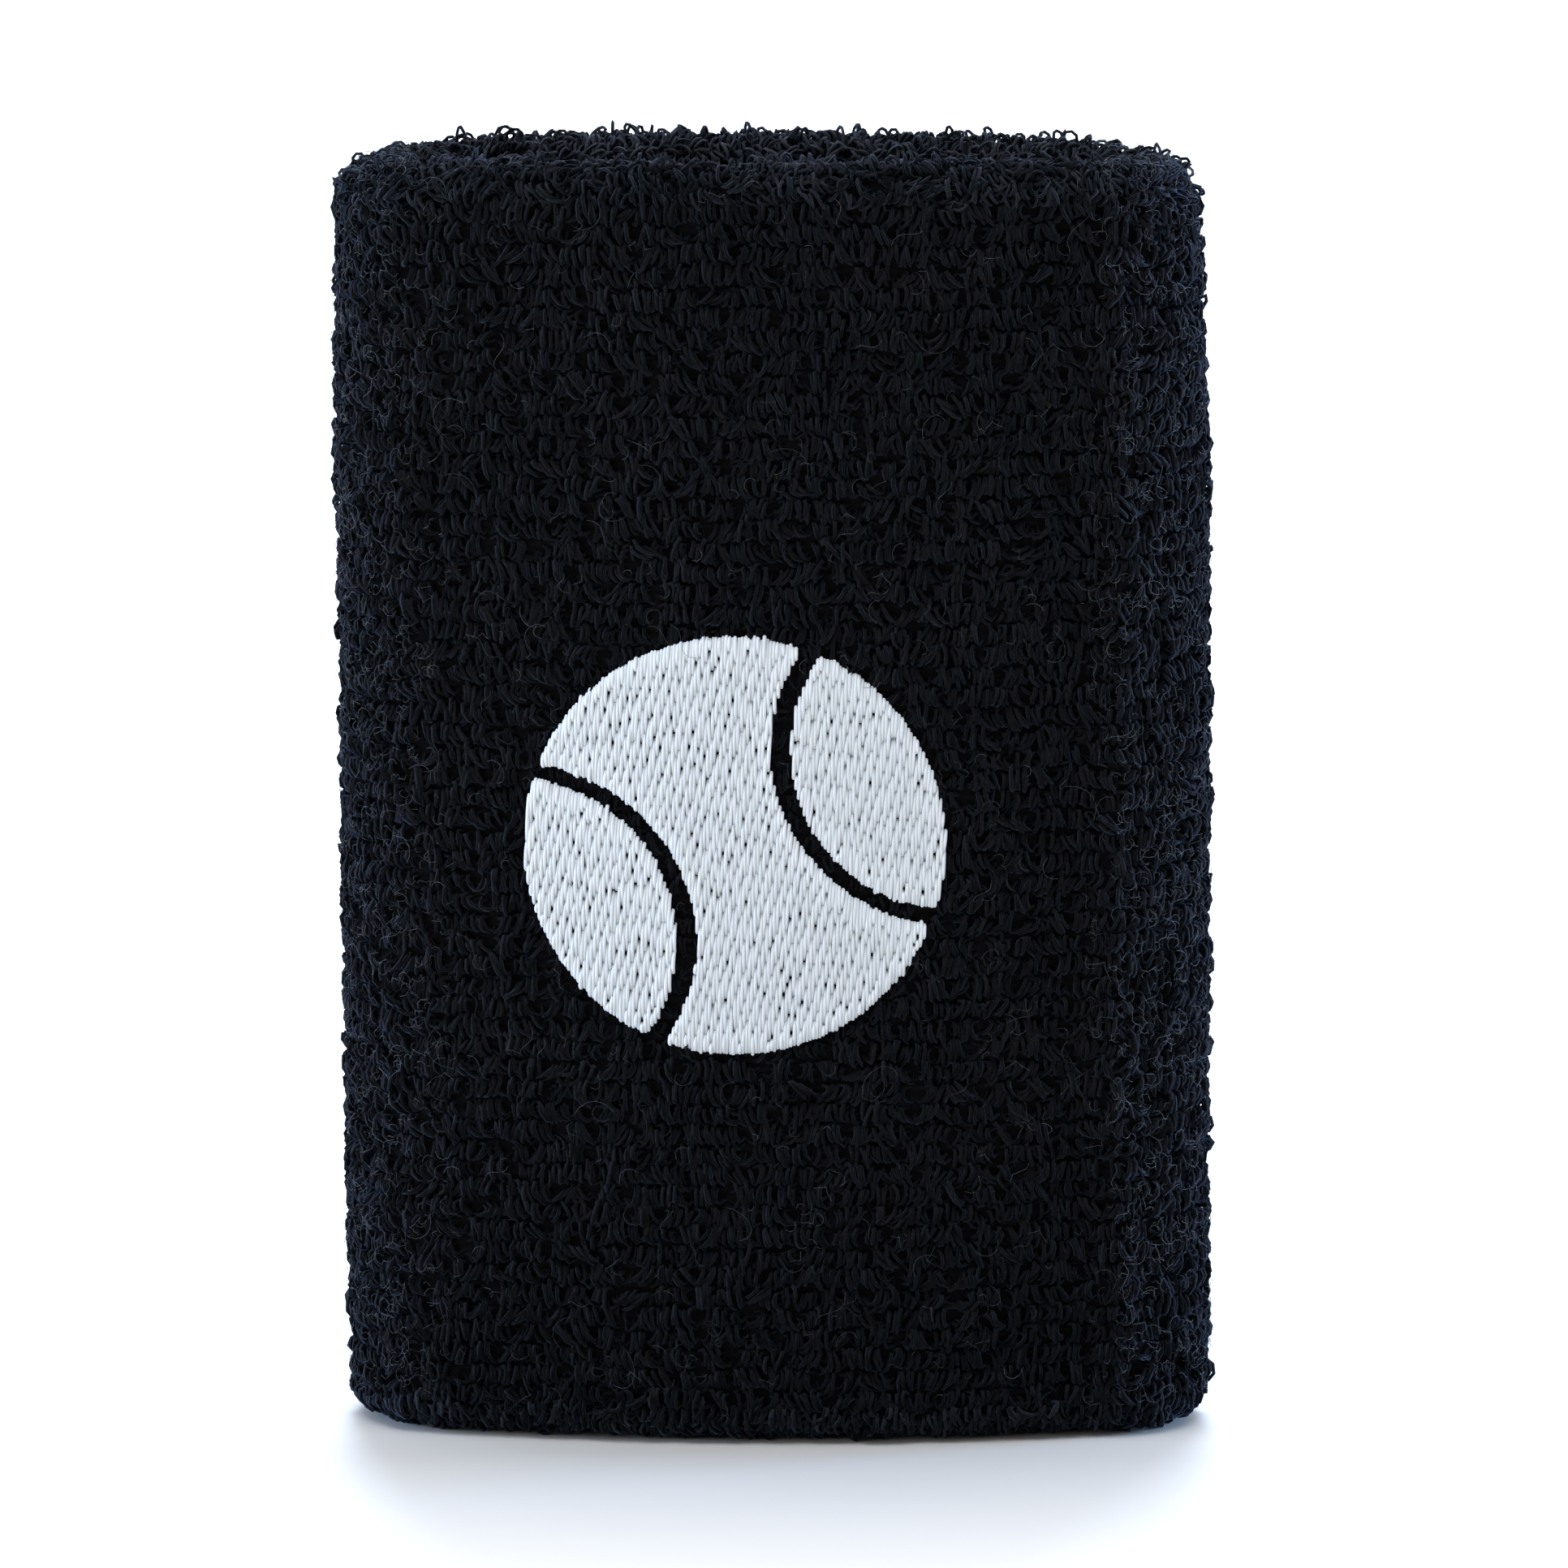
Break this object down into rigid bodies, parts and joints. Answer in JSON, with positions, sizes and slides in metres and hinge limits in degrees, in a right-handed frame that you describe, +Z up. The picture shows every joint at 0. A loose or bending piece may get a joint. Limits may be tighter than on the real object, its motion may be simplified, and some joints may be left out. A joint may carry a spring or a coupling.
{
  "type": "sweat wristband",
  "caption": "Long oval towelling wristband, a double terry sleeve folded at both rims, with an inner closing seam and an embroidered plain ball on the front.",
  "frame": {"origin": "on the ground under the middle of the oval, level with the strip that the base rim stands on", "axes": "+Z up along the sleeve from the base rim to the top rim, +X across the oval, the embroidered front faces -Y"},
  "size_m": [0.0776, 0.026, 0.115],
  "materials": {
    "cotton_pile": "near-black cotton terry loops",
    "ground_knit": "black nylon jersey ground",
    "sewing_thread": "black polyester overlock thread",
    "elastane": "covered elastane yarn",
    "embroidery_thread": "white trilobal polyester thread with a soft sheen",
    "backing": "white non-woven cut-away backing",
    "bobbin_thread": "white spun bobbin thread"
  },
  "bodies": {
    "root": {"outer_pile": "cotton_pile", "outer_ground": "ground_knit", "top_rim_pile": "cotton_pile", "top_rim_ground": "ground_knit", "base_rim_pile": "cotton_pile", "base_rim_ground": "ground_knit", "lining_pile_upper": "cotton_pile", "lining_ground_upper": "ground_knit", "lining_pile_lower": "cotton_pile", "lining_ground_lower": "ground_knit", "seam_edge_upper": "ground_knit", "seam_edge_lower": "ground_knit", "closing_thread": "sewing_thread", "elastane_outer": "elastane", "elastane_lining_upper": "elastane", "elastane_lining_lower": "elastane", "emblem_left": "embroidery_thread", "emblem_middle": "embroidery_thread", "emblem_right": "embroidery_thread", "emblem_backing": "backing", "emblem_bobbin_thread": "bobbin_thread"}
  },
  "joints": []
}
